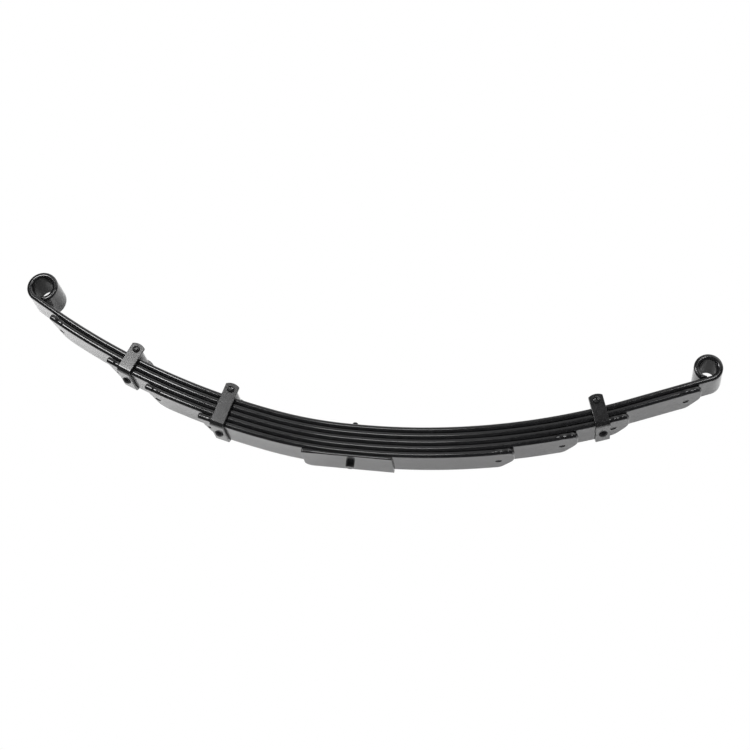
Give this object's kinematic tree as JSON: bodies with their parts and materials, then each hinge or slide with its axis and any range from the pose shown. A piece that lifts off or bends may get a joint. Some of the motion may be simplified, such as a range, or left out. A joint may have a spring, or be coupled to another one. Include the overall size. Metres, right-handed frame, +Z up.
{
  "type": "leaf spring",
  "caption": "Semi-elliptic leaf spring pack with a rolled eye at each end, rebound clips and a centre bolt, modelled at its unladen shape.",
  "frame": {"origin": "On the centre bolt's axis, in the plane of the saddle plate's underside, which seats on the axle pad; mid-width of the leaves.", "axes": "+X along the spring towards the smaller (shackle) eye, +Y across the leaves, +Z up, from the axle seat towards the main leaf."},
  "size_m": [1.0657, 0.0837, 0.2617],
  "materials": {
    "leaf_paint": "gloss black over rolled spring steel",
    "clip_paint": "gloss black over pressed steel strap",
    "fastener_paint": "gloss black over zinc plated steel",
    "pad_plastic": "dull black moulded plastic"
  },
  "bodies": {
    "centre": {"main_leaf": "leaf_paint", "second_leaf": "leaf_paint", "third_leaf": "leaf_paint", "fourth_leaf": "leaf_paint", "fifth_leaf": "leaf_paint", "saddle_plate": "leaf_paint", "centre_bolt": "fastener_paint", "centre_nut": "fastener_paint"},
    "front_middle": {"front_inner_clip": "clip_paint", "front_inner_clip_rivet": "fastener_paint", "front_inner_clip_bolt": "fastener_paint", "front_inner_clip_nut": "fastener_paint", "fifth_leaf_front_pad": "pad_plastic"},
    "front_end": {"front_outer_clip": "clip_paint", "front_outer_clip_rivet": "fastener_paint", "front_outer_clip_bolt": "fastener_paint", "front_outer_clip_nut": "fastener_paint", "fourth_leaf_front_pad": "pad_plastic", "third_leaf_front_pad": "pad_plastic", "second_leaf_front_pad": "pad_plastic"},
    "rear_middle": {"fifth_leaf_rear_pad": "pad_plastic"},
    "rear_end": {"rear_clip": "clip_paint", "rear_clip_rivet": "fastener_paint", "rear_clip_bolt": "fastener_paint", "rear_clip_nut": "fastener_paint", "fourth_leaf_rear_pad": "pad_plastic", "third_leaf_rear_pad": "pad_plastic", "second_leaf_rear_pad": "pad_plastic"},
    "front_outer_spacer": {"front_outer_clip_spacer": "fastener_paint"},
    "front_inner_spacer": {"front_inner_clip_spacer": "fastener_paint"},
    "rear_spacer": {"rear_clip_spacer": "fastener_paint"}
  },
  "joints": [
    {"name": "front_flex", "type": "hinge", "parent": "centre", "child": "front_middle", "pos_m": [-0.1322, 0, 0.0414], "axis": [0, -1, 0], "range_deg": [0, 9], "stiffness_Nm_per_rad": 8400, "deforming": ["main_leaf", "second_leaf", "third_leaf", "fourth_leaf", "fifth_leaf"]},
    {"name": "front_end_flex", "type": "hinge", "parent": "front_middle", "child": "front_end", "pos_m": [-0.2896, 0, 0.0833], "axis": [0, -1, 0], "range_deg": [0, 6.1], "deforming": ["main_leaf", "second_leaf", "third_leaf", "fourth_leaf"]},
    {"name": "rear_flex", "type": "hinge", "parent": "centre", "child": "rear_middle", "pos_m": [0.1328, 0, 0.035], "axis": [0, 1, 0], "range_deg": [0, 8.9], "stiffness_Nm_per_rad": 8400, "deforming": ["main_leaf", "second_leaf", "third_leaf", "fourth_leaf", "fifth_leaf"]},
    {"name": "rear_end_flex", "type": "hinge", "parent": "rear_middle", "child": "rear_end", "pos_m": [0.2927, 0, 0.0656], "axis": [0, 1, 0], "range_deg": [0, 6], "deforming": ["main_leaf", "second_leaf", "third_leaf", "fourth_leaf"]},
    {"name": "front_outer_spacer_spin", "type": "hinge", "parent": "front_end", "child": "front_outer_spacer", "pos_m": [-0.34188, 0, 0.13754], "axis": [0, 1, 0], "continuous": true},
    {"name": "front_inner_spacer_spin", "type": "hinge", "parent": "front_middle", "child": "front_inner_spacer", "pos_m": [-0.18795, 0, 0.08678], "axis": [0, 1, 0], "continuous": true},
    {"name": "rear_spacer_spin", "type": "hinge", "parent": "rear_end", "child": "rear_spacer", "pos_m": [0.35351, 0, 0.11856], "axis": [0, 1, 0], "continuous": true}
  ],
  "couplings": [
    {"joint": "front_end_flex", "follows": "front_flex", "ratio": 0.6667},
    {"joint": "rear_end_flex", "follows": "rear_flex", "ratio": 0.6667}
  ]
}
